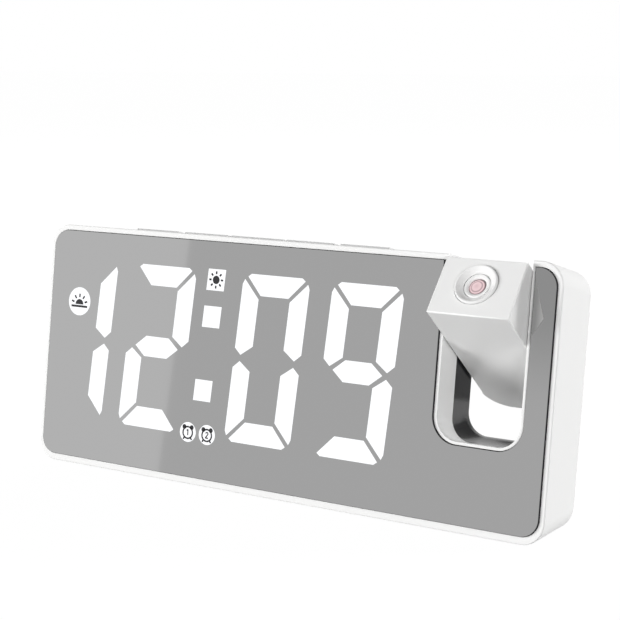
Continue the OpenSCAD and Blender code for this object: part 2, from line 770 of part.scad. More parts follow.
module arm_shell() {
    color("white") at_arm() difference() {
        union() {
            difference() {
                slab(0, arm_t) arm_outline(0, case_h);
                slab(arm_wall, arm_t + 1) arm_outline(arm_wall, arm_in_top);
            }
            for (p = arm_posts) post(p[0], p[1], board_boss_r, arm_wall - eps, arm_cover_y);
            axle(arm_x0 + arm_wall - eps, arm_x0 + arm_boss_end, tube_r + 1.7);
            axle(arm_x1 - arm_boss_end, arm_x1 - arm_wall + eps, tube_r + 1.7);
            for (z = rib_zs) translate([lens_x - 3, arm_wall - eps, z]) cube([6, lens_y - arm_wall - 4, 2]);
        }
        axle(arm_x0 - 1, arm_x0 + arm_boss_end + 1, tube_r + 0.02);
        axle(arm_x1 - arm_boss_end - 1, arm_x1 + 1, tube_r + 0.02);
        for (p = arm_posts) post(p[0], p[1], screw_r + slide_fit, arm_cover_y - 7, arm_cover_y + eps);
        translate([lens_x, lens_y, barrel_z0 - 1]) cylinder(r = barrel_r + slide_fit, h = barrel_z1 - barrel_z0 + 2);
        translate([lens_x, lens_y, arm_in_top - 1]) cylinder(r = sleeve_r + run_fit, h = lens_wall_t + 2);
        translate([lens_x, lens_y, case_h - 0.7]) cylinder(r = ring_r + 0.2, h = 2);
    }
}

module arm_cover() {
    color("white") at_arm() difference() {
        slab(arm_cover_y, arm_t) arm_outline(arm_wall + cover_fit, arm_in_top - cover_fit);
        for (p = arm_posts) {
            post(p[0], p[1], screw_r + slide_fit, arm_cover_y - 1, arm_t + 1);
            post(p[0], p[1], screw_head_r + slide_fit, arm_t - 0.8, arm_t + 1);
        }
    }
}

module arm_screws() {
    color("silver") at_arm() for (p = arm_posts) screw(p[0], p[1], arm_t - 0.8, 0.7, 6.5);
}

key_tab_z = case_h - key_tab_drop;

module lamp_barrel() {
    color([0.12, 0.12, 0.12]) at_arm() translate([lens_x, lens_y, 0]) difference() {
        translate([0, 0, barrel_z0]) cylinder(r = barrel_r, h = barrel_z1 - barrel_z0);
        translate([0, 0, barrel_z0 - 1]) cylinder(r = barrel_bore, h = barrel_z1 - barrel_z0 + 2);
        translate([0, -0.7, key_tab_z - 1.4]) cube([barrel_r + 1, 1.4, barrel_z1]);
    }
}

module led_board() {
    color("darkgreen") at_arm() translate([lens_x - led_board_w / 2 - 0.5, lens_y - barrel_r, barrel_z0 - board_t])
        cube([led_board_w, 2 * barrel_r, board_t]);
}

module red_led() {
    color("red") at_arm() translate([lens_x, lens_y, barrel_z0]) {
        cylinder(r = 2.5, h = 1.6);
        translate([0, 0, 1.6 - eps]) intersection() {
            sphere(r = 2.2);
            translate([-3, -3, 0]) cube(6);
        }
    }
}

module condenser_lens() {
    color("lightblue") at_arm() translate([lens_x, lens_y, barrel_z0 + 6])
        cylinder(r = barrel_bore - slide_fit, h = 2.6);
}

module digit_slide() {
    color([0.3, 0.3, 0.35]) at_arm() translate([lens_x, lens_y, barrel_z0 + 10])
        cylinder(r = barrel_bore - slide_fit, h = 1);
}

module lamp_leads() {
    x = (arm_x0 + arm_boss_end + lens_x - barrel_r) / 2;
    a = [cable_end, pivot_y, pivot_z];
    b = [x, pivot_y, pivot_z];
    c = [x, pivot_y, barrel_z0];
    color("firebrick") at_arm() {
        rod(a, b, lead_r);
        translate(b) sphere(r = lead_r + bend_extra);
        rod(b, c, lead_r);
    }
}

// ---------- focus ----------

// The three turned parts are drawn as their sections: radius, and height above the lens face.
module turned(section) {
    at_arm() translate([lens_x, lens_y, case_h]) rotate_extrude($fn = 96) polygon(section);
}

module focus_ring() {
    bore = cell_r + run_fit;
    dish = [for (t = [0.85, 0.55, 0.25, 0]) [bore + 0.17 + 1.4 * t, -0.5 + 1.1 * pow(t, 1.6)]];
    color("white") turned(concat([[bore, -3], [sleeve_r + 0.4, -3], [sleeve_r + 0.4, -lens_wall_t - 0.3],
        [sleeve_r, -lens_wall_t - 0.3], [sleeve_r, -0.6], [ring_r, -0.6], [ring_r, ring_proud - 0.45],
        [ring_r - 0.13, ring_proud - 0.13], [ring_r - 0.45, ring_proud], [ring_r - 0.68, ring_proud - 0.06]],
        dish, [[bore, -0.6]]));
}

module lens_cell() {
    color("whitesmoke") {
        turned([[lens_open_r, lip_under], [lens_open_r, cell_top - 0.5], [lens_open_r + 0.12, cell_top - 0.35],
            [cell_r - 0.42, cell_top], [cell_r - 0.3, cell_top - 0.03], [cell_r - 0.08, cell_top - 0.35],
            [cell_r, cell_top - 0.55], [cell_r, cell_top - lens_cell_len], [lens_r - 0.35, cell_top - lens_cell_len],
            [lens_r - 0.35, lens_under], [lens_r + slide_fit, lens_under], [lens_r + slide_fit, lip_under]]);
        at_arm() translate([lens_x + cell_r - 0.3, lens_y - 0.6, key_tab_z]) cube([1.4, 1.2, 1.5]);
    }
}

module projector_lens() {
    dome = [for (i = [0 : 8]) let(r = lens_open_r * i / 8)
        [r, lens_apex - lens_curve + sqrt(lens_curve * lens_curve - r * r)]];
    color("lightblue") turned(concat(dome, [[lens_r, dome[8][1]], [lens_r, lens_under + 0.3],
        [2, lens_under + 0.05], [0, lens_under - 0.1]]));
}

front_housing();
mirror_panel();
segment_diffuser();
digit_frame();
display_board();
display_leds();
board_spacers();
main_board();
clock_chips();
watch_crystal();
tact_switches();
board_link();
board_screws();
power_inlet();
buzzer();
cell_holder();
coin_cell();
cell_contact();
rear_cover();
battery_door();
door_screw();
case_screws();
base_pad();
window_liner();
pivot_bushes();
friction_washers();
arm_plug();
arm_cable();
key_projector();
key_alarm();
key_snooze();
key_down();
key_up();
arm_shell();
arm_cover();
arm_screws();
pivot_tubes();
lamp_barrel();
led_board();
red_led();
condenser_lens();
digit_slide();
lamp_leads();
focus_ring();
lens_cell();
projector_lens();
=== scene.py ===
import json
from math import cos, pi, radians, sin

import bmesh
import bpy
from mathutils import Matrix, Vector

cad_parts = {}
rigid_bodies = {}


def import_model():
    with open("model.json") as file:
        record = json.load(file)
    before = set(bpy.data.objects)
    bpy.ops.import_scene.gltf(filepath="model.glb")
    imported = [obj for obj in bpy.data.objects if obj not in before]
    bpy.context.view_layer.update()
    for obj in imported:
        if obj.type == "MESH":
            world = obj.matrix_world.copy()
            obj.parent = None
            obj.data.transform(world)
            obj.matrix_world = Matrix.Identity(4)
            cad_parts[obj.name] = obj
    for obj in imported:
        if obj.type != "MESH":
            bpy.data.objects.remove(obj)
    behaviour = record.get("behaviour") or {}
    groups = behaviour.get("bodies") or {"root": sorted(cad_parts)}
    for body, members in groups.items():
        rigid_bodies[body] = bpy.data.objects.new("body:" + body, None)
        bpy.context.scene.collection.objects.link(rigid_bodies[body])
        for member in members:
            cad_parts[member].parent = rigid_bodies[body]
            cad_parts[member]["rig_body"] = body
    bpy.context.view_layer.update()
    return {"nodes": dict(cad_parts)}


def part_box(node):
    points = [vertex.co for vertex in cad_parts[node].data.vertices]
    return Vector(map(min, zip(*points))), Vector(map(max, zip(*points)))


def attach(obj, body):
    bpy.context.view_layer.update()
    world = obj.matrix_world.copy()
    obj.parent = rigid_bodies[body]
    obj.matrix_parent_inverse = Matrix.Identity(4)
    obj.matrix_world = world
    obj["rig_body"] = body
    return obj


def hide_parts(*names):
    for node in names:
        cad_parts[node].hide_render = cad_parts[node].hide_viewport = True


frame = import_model()
scene = bpy.context.scene
nodes = frame["nodes"]

# ---------------------------------------------------------------------------------------------
# Case shell. A thin-walled white ABS tray, injection moulded in one piece: its front rim frames
# the mirror, its sides run to the back, and half of the arm's window is moulded into it.
# ---------------------------------------------------------------------------------------------

MM = 0.001
CASE_H, CASE_D = 80.6, 20.2
LIP = 0.6
PAD_PROUD = 0.5
LEAN = radians(8)
ABS_WHITE = (0.86, 0.86, 0.855)
FINE_EDGE = 0.12
GRAIN_HEIGHT = 0.0002
WELD = 2e-6
SMOOTH_UNDER, SHARP_OVER, FLAT_WITHIN = radians(42), radians(50), radians(0.6)


def at_case(x, y, z):
    """A point given in the case's own upright frame, in millimetres, as it stands on the table."""
    depth, height = y - LIP, z
    back = -CASE_D / cos(LEAN) / 2 + depth * cos(LEAN) + height * sin(LEAN)
    up = PAD_PROUD - depth * sin(LEAN) + height * cos(LEAN)
    return Vector((x, back, up)) * MM


def new_group(name, inputs, outputs, kind="ShaderNodeTree"):
    """An empty node group with its sockets, and its two end nodes."""
    group = bpy.data.node_groups.new(name, kind)
    for label, socket_kind, value in inputs:
        socket = group.interface.new_socket(label, in_out="INPUT", socket_type=socket_kind)
        if value is not None:
            socket.default_value = value
    for label, socket_kind in outputs:
        group.interface.new_socket(label, in_out="OUTPUT", socket_type=socket_kind)
    return group, group.nodes.new("NodeGroupInput"), group.nodes.new("NodeGroupOutput")


def add_nodes(tree, *kinds):
    """New nodes of the given kinds in a tree."""
    return [tree.nodes.new(kind) for kind in kinds]


def set_inputs(node, values):
    """Sets a node's inputs by their names."""
    for label, value in values.items():
        node.inputs[label].default_value = value


def moulded_grain():
    """The spark-eroded texture of a mould: a fine grain in the surface and slow changes in its gloss."""
    group, given, made = new_group(
        "moulded_grain",
        [("Scale", "NodeSocketFloat", 900.0), ("Gloss", "NodeSocketFloat", 0.35),
         ("Spread", "NodeSocketFloat", 0.06), ("Depth", "NodeSocketFloat", 0.02)],
        [("Roughness", "NodeSocketFloat"), ("Normal", "NodeSocketVector")])
    where, grain, slow, centred, spread, bump = add_nodes(
        group, "ShaderNodeTexCoord", "ShaderNodeTexNoise", "ShaderNodeTexNoise", "ShaderNodeMath",
        "ShaderNodeMath", "ShaderNodeBump")
    set_inputs(grain, {"Detail": 3.0})
    set_inputs(slow, {"Scale": 25.0, "Detail": 2.0})
    set_inputs(bump, {"Distance": GRAIN_HEIGHT})
    centred.operation = "SUBTRACT"
    centred.inputs[1].default_value = 0.5
    spread.operation = "MULTIPLY_ADD"
    link = group.links.new
    link(where.outputs["Object"], grain.inputs["Vector"])
    link(where.outputs["Object"], slow.inputs["Vector"])
    link(given.outputs["Scale"], grain.inputs["Scale"])
    link(slow.outputs["Fac"], centred.inputs[0])
    link(centred.outputs[0], spread.inputs[0])
    link(given.outputs["Spread"], spread.inputs[1])
    link(given.outputs["Gloss"], spread.inputs[2])
    link(grain.outputs["Fac"], bump.inputs["Height"])
    link(given.outputs["Depth"], bump.inputs["Strength"])
    link(spread.outputs[0], made.inputs["Roughness"])
    link(bump.outputs["Normal"], made.inputs["Normal"])
    return group


GRAIN = moulded_grain()


def shader_of(material):
    """A material's Principled shader."""
    return material.node_tree.nodes["Principled BSDF"]


def new_material(name, colour, metallic=0.0, roughness=0.4, **others):
    """A material with one Principled shader, and any more of its inputs, such as coat_weight."""
    material = bpy.data.materials.new(name)
    material.use_nodes = True
    set_inputs(shader_of(material), {"Base Color": (*colour, 1.0), "Metallic": metallic, "Roughness": roughness})
    set_inputs(shader_of(material), {key.replace("_", " ").title(): value for key, value in others.items()})
    material.diffuse_color = (*colour, 1.0)
    return material


def plastic(name, colour, gloss=0.35, spread=0.06, scale=900.0, depth=0.02, mottle=0.012):
    """Moulded plastic: mould grain, and a slow, faint change of tone from the flow of the melt."""
    material = new_material(name, colour, roughness=gloss)
    tree, shader = material.node_tree, shader_of(material)
    grain, where, flow, tone = add_nodes(
        tree, "ShaderNodeGroup", "ShaderNodeTexCoord", "ShaderNodeTexNoise", "ShaderNodeMix")
    grain.node_tree = GRAIN
    set_inputs(grain, {"Scale": scale, "Gloss": gloss, "Spread": spread, "Depth": depth})
    set_inputs(flow, {"Scale": 18.0, "Detail": 1.0})
    tone.data_type = "RGBA"
    set_inputs(tone, {"A": (*[c * (1 - mottle) for c in colour], 1.0),
                      "B": (*[min(1.0, c * (1 + mottle)) for c in colour], 1.0)})
    link = tree.links.new
    link(where.outputs["Object"], flow.inputs["Vector"])
    link(flow.outputs["Fac"], tone.inputs["Factor"])
    link(tone.outputs["Result"], shader.inputs["Base Color"])
    link(grain.outputs["Roughness"], shader.inputs["Roughness"])
    link(grain.outputs["Normal"], shader.inputs["Normal"])
    return material


def new_piece(name, shape, *materials):
    """Turns a finished bmesh into an object with its materials."""
    mesh = bpy.data.meshes.new(name)
    shape.to_mesh(mesh)
    shape.free()
    for material in materials:
        mesh.materials.append(material)
    piece = bpy.data.objects.new(name, mesh)
    scene.collection.objects.link(piece)
    return piece


def finish_edges(piece, width=0.0):
    """Rounds a piece's sharp edges and shades its curved faces smoothly, its flat ones flat."""
    piece.data.shade_smooth()
    piece.data.set_sharp_from_angle(angle=SMOOTH_UNDER)
    if width:
        bevel = piece.modifiers.new("edges", "BEVEL")
        bevel.width = width * MM
        bevel.segments = 2
        bevel.limit_method = "ANGLE"
        bevel.angle_limit = SHARP_OVER
        bevel.miter_outer = "MITER_ARC"
        bevel.use_clamp_overlap = True
    normals = piece.modifiers.new("normals", "WEIGHTED_NORMAL")
    normals.keep_sharp = True
    normals.weight = 100


def stand_in(piece, node):
    """Puts a finished piece in a node's place, on that node's body."""
    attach(piece, nodes[node]["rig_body"])
    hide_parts(node)


def welded(node):
    """A copy of a node's mesh, its loose triangles joined."""
    shape = bmesh.new()
    shape.from_mesh(nodes[node].data)
    bmesh.ops.remove_doubles(shape, verts=shape.verts, dist=WELD)
    return shape


def moulded_from(node, name, width, slot, *materials, chamfer=0.0, outside=None):
    """The node's own shape in clean faces, its edges rounded, or those on its outside chamfered.

    The chamfers take the second material.
    """
    shape = welded(node)
    bmesh.ops.dissolve_limit(shape, angle_limit=FLAT_WITHIN, verts=shape.verts, edges=shape.edges, delimit=set())
    if chamfer:
        sharp = [edge for edge in shape.edges if edge.is_convex and edge.calc_face_angle(0.0) > SHARP_OVER
                 and all(outside(vert.co) for vert in edge.verts)]
        cut = bmesh.ops.bevel(shape, geom=sharp, offset=chamfer * MM, offset_type="OFFSET", segments=1,
                              profile=0.5, affect="EDGES", clamp_overlap=False)
        for face in cut["faces"]:
            face.material_index = 1
    piece = new_piece(name, shape, *materials)
    finish_edges(piece, width)
    stand_in(piece, node)
    return piece


white_abs = plastic("white_abs", ABS_WHITE)
moulded_from("front_housing", "case_shell", FINE_EDGE, "white_shell", white_abs)

# ---------------------------------------------------------------------------------------------
# Mirror panel. Smoked acrylic sheet with a vacuum-metallised back, laser cut with a U for the
# arm's window; its cut edge is dark, and it is stuck into the rim and stands proud of it.
# ---------------------------------------------------------------------------------------------

PANEL_HALF, PANEL_TOP, PANEL_CORNER = 93.33, 78.73, 6
WINDOW_X0, WINDOW_X1 = 57.3, 86.3
GAP_SHADE_UNDER, GAP_SHADE_OVER, GAP_SHADE_T = 0.07, 0.04, 0.9


def on_panel(shape, outline, y, thickness):
    """Adds a thin flat plate on the panel, its outline given in x and z, with its front at y."""
    area = sum(a[0] * b[1] - b[0] * a[1] for a, b in zip(outline, outline[1:] + outline[:1]))
    if area < 0:
        outline = outline[::-1]
    front = [shape.verts.new(at_case(x, y, z)) for x, z in outline]
    behind = [shape.verts.new(at_case(x, y + thickness, z)) for x, z in outline]
    shape.faces.new(front)
    shape.faces.new(behind[::-1])
    for i in range(len(outline)):
        j = (i + 1) % len(outline)
        shape.faces.new((front[j], front[i], behind[i], behind[j]))


def add_piece(name, shape, slot, *materials):
    """Turns a bmesh into a piece of the clock that replaces no node."""
    bmesh.ops.recalc_face_normals(shape, faces=shape.faces)
    piece = new_piece(name, shape, *materials)
    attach(piece, "clock")


mirror_face = new_material("smoked_mirror", (0.43, 0.43, 0.43), metallic=1.0, roughness=0.035,
                           coat_weight=0.3, coat_roughness=0.01)
mirror_edge = plastic("acrylic_edge", (0.028, 0.028, 0.03), gloss=0.55, depth=0.0)
set_inputs(shader_of(mirror_edge), {"Specular IOR Level": 0.1})
panel = moulded_from("mirror_panel", "mirror_panel_cut", FINE_EDGE, "mirror_front", mirror_face, mirror_edge)
case_back = (at_case(0, 1, 0) - at_case(0, 0, 0)).normalized()
for face in panel.data.polygons:
    if abs(face.normal.dot(case_back)) < 0.7:
        face.material_index = 1
panel.modifiers["edges"].material = 1

# Painted shade: a thin black strip along the panel's top edge, in the gap to the rim, stands in for the shadow in
# that gap. It takes the acrylic edge's dark material.
gap_shade_strip = bmesh.new()
for x0, x1 in ((PANEL_CORNER - PANEL_HALF, WINDOW_X0), (WINDOW_X1, PANEL_HALF - PANEL_CORNER)):
    low, high = PANEL_TOP - GAP_SHADE_UNDER, PANEL_TOP + GAP_SHADE_OVER
    on_panel(gap_shade_strip, [(x0, low), (x1, low), (x1, high), (x0, high)], 0.0, GAP_SHADE_T)
add_piece("painted_gap_shade", gap_shade_strip, "black_plastic", mirror_edge)

# ---------------------------------------------------------------------------------------------
# Lit display. LEDs light white diffusers behind the metallised panel, and the light comes out at
# its face as four digits, three squares and small round signs.
# ---------------------------------------------------------------------------------------------

DIGIT_W, DIGIT_H, STROKE, SLANT = 25.15, 53.5, 6.7, 0.064
DIGIT_X, DIGIT_Z = (-93.3, -60.75, -17.0, 16.35), 16.0
DOT_W, DOT_GAP, DOT_FEET = 6.85, 4.66, (11.4, 35.2, 47.1)
DOT_X = DIGIT_X[1] + DIGIT_W + DOT_GAP
LIGHT_Y, LIGHT_T = -0.03, 0.025
TIP, NOSE, MITRE = 1.8, 0.9, 0.65
CORNER_CUT, SIDE_CUT, WAIST_RISE, WAIST_IN = 1.2, 1.5, 3.1, 2.4
POINT_LEFT, POINT_RIGHT, BLADE_LEFT, BLADE_RIGHT = 1.9, 2.1, 1.1, 1.4
LIT = ("bc", "abged", "abcdef", "abcdfg")


def flip_x(points):
    """An outline mirrored across the digit's upright middle."""
    return [(DIGIT_W - x, z) for x, z in points]


def flip_z(points):
    """An outline mirrored across the digit's level middle."""
    return [(x, DIGIT_H - z) for x, z in points]


middle = DIGIT_H / 2
bar_a = [(TIP, DIGIT_H - NOSE), (TIP + CORNER_CUT, DIGIT_H), (DIGIT_W - TIP - CORNER_CUT, DIGIT_H),
         (DIGIT_W - TIP, DIGIT_H - NOSE), (DIGIT_W - STROKE - MITRE, DIGIT_H - STROKE),
         (STROKE + MITRE, DIGIT_H - STROKE)]
bar_f = [(NOSE - 0.2, DIGIT_H - TIP), (0, DIGIT_H - TIP - SIDE_CUT), (0, middle + WAIST_RISE),
         (WAIST_IN, middle + 1), (STROKE, middle + STROKE / 2 + MITRE), (STROKE, DIGIT_H - STROKE - MITRE - 0.5)]
bar_g = [(TIP + POINT_LEFT, middle), (STROKE + BLADE_LEFT, middle + STROKE / 2),
         (DIGIT_W - STROKE - BLADE_RIGHT, middle + STROKE / 2), (DIGIT_W - TIP - POINT_RIGHT, middle),
         (DIGIT_W - STROKE - BLADE_RIGHT, middle - STROKE / 2), (STROKE + BLADE_LEFT, middle - STROKE / 2)]
SEGMENTS = {"a": bar_a, "b": flip_x(bar_f), "c": flip_x(flip_z(bar_f)), "d": flip_z(bar_a),
            "e": flip_z(bar_f), "f": bar_f, "g": bar_g}


def round_outline(x, z, r, last=360.0, steps=48):
    """Points round a circle, or along an arc as far as the last angle in degrees."""
    count = max(3, round(steps * last / 360))
    stops = count if last >= 360 else count + 1
    return [(x + r * cos(radians(last * i / count)), z + r * sin(radians(last * i / count))) for i in range(stops)]


lit_white = new_material("lit_white", (0.25, 0.25, 0.26), roughness=0.5, emission_strength=0.8,
                         emission_color=(0.97, 0.985, 1.0, 1.0))

digits = bmesh.new()
for left, lit in zip(DIGIT_X, LIT):
    for letter in lit:
        outline = [(left + x + SLANT * z, DIGIT_Z + z) for x, z in SEGMENTS[letter]]
        on_panel(digits, outline, LIGHT_Y, LIGHT_T)
for foot in DOT_FEET:
    left = DOT_X + SLANT * foot
    outline = [(left, DIGIT_Z + foot), (left + DOT_W, DIGIT_Z + foot),
               (left + DOT_W + SLANT * DOT_W, DIGIT_Z + foot + DOT_W),
               (left + SLANT * DOT_W, DIGIT_Z + foot + DOT_W)]
    on_panel(digits, outline, LIGHT_Y, LIGHT_T)
HALF_DAY_SIGN = (DIGIT_X[0] + 12.5, DIGIT_Z + 38.95, 4.75)
ALARM_SIGNS = [(DOT_X + aside, DIGIT_Z + 0.85, 3.2) for aside in (-0.45, 7.2)]
for x, z, r in (HALF_DAY_SIGN, *ALARM_SIGNS):
    on_panel(digits, round_outline(x, z, r, steps=64), LIGHT_Y, LIGHT_T)
add_piece("lit_digits", digits, "lit_diffuser", lit_white)

# ---------------------------------------------------------------------------------------------
# Signs in the display's mask. Printed black on the diffusers: a rising sun in the half-day disc,
# a full sun in the top square, and an alarm clock with its number in each small disc.
# ---------------------------------------------------------------------------------------------

INK_Y, INK_T = LIGHT_Y - 0.012, 0.01
RAY_FROM, RAY_TO, RAY_W = 1.35, 2.05, 0.62
HORIZON_HALF, HORIZON_DROP, HORIZON_W = 3.5, 1.65, 0.72
DIAL_R, DIAL_W, BELL_R, FOOT_W, NUMBER_W = 1.9, 0.56, 0.78, 0.55, 0.42


def ink_bar(shape, x0, z0, x1, z1, width):
    """A straight printed stroke from one point to another."""
    along = Vector((x1 - x0, z1 - z0)).normalized() * width / 2
    side = Vector((-along.y, along.x))
    on_panel(shape, [(x0 + side.x, z0 + side.y), (x0 - side.x, z0 - side.y),
                     (x1 - side.x, z1 - side.y), (x1 + side.x, z1 + side.y)], INK_Y, INK_T)


def ink_ring(shape, x, z, r, width):
    """A printed ring, as a chain of short strokes."""
    centre = round_outline(x, z, r, steps=40)
    for a, b in zip(centre, centre[1:] + centre[:1]):
        ink_bar(shape, *a, *b, width)


def ink_sun(shape, x, z, r, rays, last=360.0):
    """A sun with its rays, whole or risen as far as the last angle."""
    on_panel(shape, round_outline(x, z, r, last=last), INK_Y, INK_T)
    for i in range(rays):
        turn = radians(last * (i + (0 if last >= 360 else 0.5)) / rays)
        ink_bar(shape, x + RAY_FROM * r * cos(turn), z + RAY_FROM * r * sin(turn),
                x + RAY_TO * r * cos(turn), z + RAY_TO * r * sin(turn), RAY_W)


def ink_number(shape, x, z, number):
    """A plain 1 or 2, 1.9 mm high."""
    if number == 1:
        strokes = [(-0.5, 0.55, 0.05, 0.95), (0.05, 0.95, 0.05, -0.95)]
    else:
        strokes = [(-0.5, 0.55, -0.2, 0.9), (-0.2, 0.9, 0.3, 0.9), (0.3, 0.9, 0.52, 0.45),
                   (0.52, 0.45, -0.5, -0.9), (-0.5, -0.9, 0.58, -0.9)]
    for x0, z0, x1, z1 in strokes:
        ink_bar(shape, x + x0, z + z0, x + x1, z + z1, NUMBER_W)


ink = plastic("mask_ink", (0.012, 0.012, 0.014), gloss=0.5, depth=0.0)
marks = bmesh.new()
x, z, _ = HALF_DAY_SIGN
ink_sun(marks, x, z - 1.0, 1.75, 5, last=180.0)
ink_bar(marks, x - HORIZON_HALF, z - HORIZON_DROP, x + HORIZON_HALF, z - HORIZON_DROP, HORIZON_W)
ink_sun(marks, DOT_X + SLANT * 50.5 + DOT_W / 2, DIGIT_Z + DOT_FEET[-1] + DOT_W / 2, 1.35, 8)
for number, (x, z, _) in enumerate(ALARM_SIGNS, 1):
    ink_ring(marks, x, z - 0.15, DIAL_R, DIAL_W)
    for side in (-1, 1):
        on_panel(marks, round_outline(x + side * 1.48, z + 1.6, BELL_R), INK_Y, INK_T)
        ink_bar(marks, x + side * 1.25, z - 1.75, x + side * 1.7, z - 2.4, FOOT_W)
    ink_number(marks, x, z - 0.1, number)
add_piece("display_marks", marks, "black_plastic", ink)

# ---------------------------------------------------------------------------------------------
# Window liner. A glossy black moulding behind the white half of the window's walls, pushed in
# from the back and held by its flange, under the back cover.
# ---------------------------------------------------------------------------------------------

black_gloss = plastic("black_gloss", (0.012, 0.012, 0.013), gloss=0.2, spread=0.04, depth=0.004)
moulded_from("window_liner", "window_liner_gloss", FINE_EDGE, "dark_liner", black_gloss)

# ---------------------------------------------------------------------------------------------
# Keys. Five satin ABS caps that stand out of slots in the top face. Each is pushed in from
# inside, where its flange keeps it, and rests on a tact switch.
# ---------------------------------------------------------------------------------------------

KEY_EDGE = 0.25

# Painted shade: the caps are a light grey, darker than the case's white, so that their front faces read as shaded.
satin_keys_painted_shade = plastic("satin_keys_painted_shade", (0.76, 0.76, 0.76), gloss=0.5, scale=1400.0, depth=0.05)
for key in ("projector", "alarm", "snooze", "down", "up"):
    moulded_from("key_" + key, key + "_key_cap", KEY_EDGE, "key_caps", satin_keys_painted_shade)

# ---------------------------------------------------------------------------------------------
# Back. A flat ABS cover set inside the shell's walls, with sound slots, the power inlet's opening
# and a door over the coin cell; cross-head screws hold both.
# ---------------------------------------------------------------------------------------------

BACK_EDGE = 0.15
HEAD_R, HEAD_TAPER = 2.2, 0.86
CROSS_BAR = (0.0024, 0.00055, 0.001)

moulded_from("rear_cover", "back_cover_plate", BACK_EDGE, "white_shell", white_abs)
moulded_from("battery_door", "battery_door_plate", BACK_EDGE, "white_shell", white_abs)


def brushed(name, colour, roughness):
    """Plated steel with fine drawn lines."""
    material = new_material(name, colour, metallic=1.0, roughness=roughness)
    tree = material.node_tree
    where, stretch, lines, level = add_nodes(
        tree, "ShaderNodeTexCoord", "ShaderNodeMapping", "ShaderNodeTexNoise", "ShaderNodeMapRange")
    set_inputs(stretch, {"Scale": (400.0, 3000.0, 400.0)})
    set_inputs(lines, {"Scale": 1.0})
    set_inputs(level, {"To Min": roughness - 0.08, "To Max": roughness + 0.08})
    link = tree.links.new
    link(where.outputs["Object"], stretch.inputs["Vector"])
    link(stretch.outputs["Vector"], lines.inputs["Vector"])
    link(lines.outputs["Fac"], level.inputs["Value"])
    link(level.outputs["Result"], shader_of(material).inputs["Roughness"])
    return material


def screw_tree():
    """Geometry Nodes: a screw with a tapered head and a shank on each point, turned to face one way."""
    tree, given, made = new_group(
        "cross_head_screws",
        [("Points", "NodeSocketGeometry", None), ("Head Radius", "NodeSocketFloat", 0.0022),
         ("Head Height", "NodeSocketFloat", 0.0009), ("Shank Radius", "NodeSocketFloat", 0.00115),
         ("Shank Length", "NodeSocketFloat", 0.007), ("Turn", "NodeSocketVector", (0.0, 0.0, 0.0)),
         ("Finish", "NodeSocketMaterial", None)],
        [("Screws", "NodeSocketGeometry")], kind="GeometryNodeTree")
    link = tree.links.new

    def times(socket, factor):
        """A size multiplied by a number."""
        product = tree.nodes.new("ShaderNodeMath")
        product.operation = "MULTIPLY"
        product.inputs[1].default_value = factor
        link(socket, product.inputs[0])
        return product.outputs[0]

    def lifted(part, height):
        """A part moved up by a size."""
        place, vector = add_nodes(tree, "GeometryNodeTransform", "ShaderNodeCombineXYZ")
        link(height, vector.inputs["Z"])
        link(vector.outputs[0], place.inputs["Translation"])
        link(part, place.inputs["Geometry"])
        return place.outputs[0]

    head, shank, recess, cut, join, spots, instances, realize, paint = add_nodes(
        tree, "GeometryNodeMeshCone", "GeometryNodeMeshCylinder", "GeometryNodeJoinGeometry",
        "GeometryNodeMeshBoolean", "GeometryNodeJoinGeometry", "GeometryNodeMeshToPoints",
        "GeometryNodeInstanceOnPoints", "GeometryNodeRealizeInstances", "GeometryNodeSetMaterial")
    set_inputs(head, {"Vertices": 32, "Side Segments": 3})
    link(given.outputs["Head Radius"], head.inputs["Radius Bottom"])
    link(times(given.outputs["Head Radius"], HEAD_TAPER), head.inputs["Radius Top"])
    link(given.outputs["Head Height"], head.inputs["Depth"])
    set_inputs(shank, {"Vertices": 24})
    link(given.outputs["Shank Radius"], shank.inputs["Radius"])
    link(given.outputs["Shank Length"], shank.inputs["Depth"])

    for turn in (0.0, pi / 2):
        bar, spin = add_nodes(tree, "GeometryNodeMeshCube", "GeometryNodeTransform")
        set_inputs(bar, {"Size": CROSS_BAR})
        set_inputs(spin, {"Rotation": (0.0, 0.0, turn)})
        link(bar.outputs["Mesh"], spin.inputs["Geometry"])
        link(spin.outputs[0], recess.inputs[0])
    cut.operation = "DIFFERENCE"
    cut.solver = "EXACT"
    link(head.outputs["Mesh"], cut.inputs["Mesh 1"])
    link(lifted(recess.outputs[0], given.outputs["Head Height"]), cut.inputs["Mesh 2"])
    link(cut.outputs["Mesh"], join.inputs[0])
    link(lifted(shank.outputs["Mesh"], times(given.outputs["Shank Length"], -0.5)), join.inputs[0])

    link(given.outputs["Points"], spots.inputs["Mesh"])
    link(spots.outputs[0], instances.inputs["Points"])
    link(join.outputs[0], instances.inputs["Instance"])
    link(given.outputs["Turn"], instances.inputs["Rotation"])
    link(instances.outputs[0], realize.inputs[0])
    link(realize.outputs[0], paint.inputs["Geometry"])
    link(given.outputs["Finish"], paint.inputs["Material"])
    link(paint.outputs[0], made.inputs["Screws"])
    return tree


plated_steel = brushed("plated_steel", (0.6, 0.6, 0.6), 0.3)
SCREWS = screw_tree()


def centres_of(node):
    """The middle of each separate solid in a node."""
    shape = welded(node)
    seen, middles = set(), []
    for start in shape.verts:
        if start in seen:
            continue
        solid, fresh = {start}, [start]
        while fresh:
            vert = fresh.pop()
            found = {edge.other_vert(vert) for edge in vert.link_edges} - solid
            solid |= found
            fresh.extend(found)
        seen |= solid
        low, high = (Vector([pick(vert.co[i] for vert in solid) for i in range(3)]) for pick in (min, max))
        middles.append((low + high) / 2)
    shape.free()
    return middles


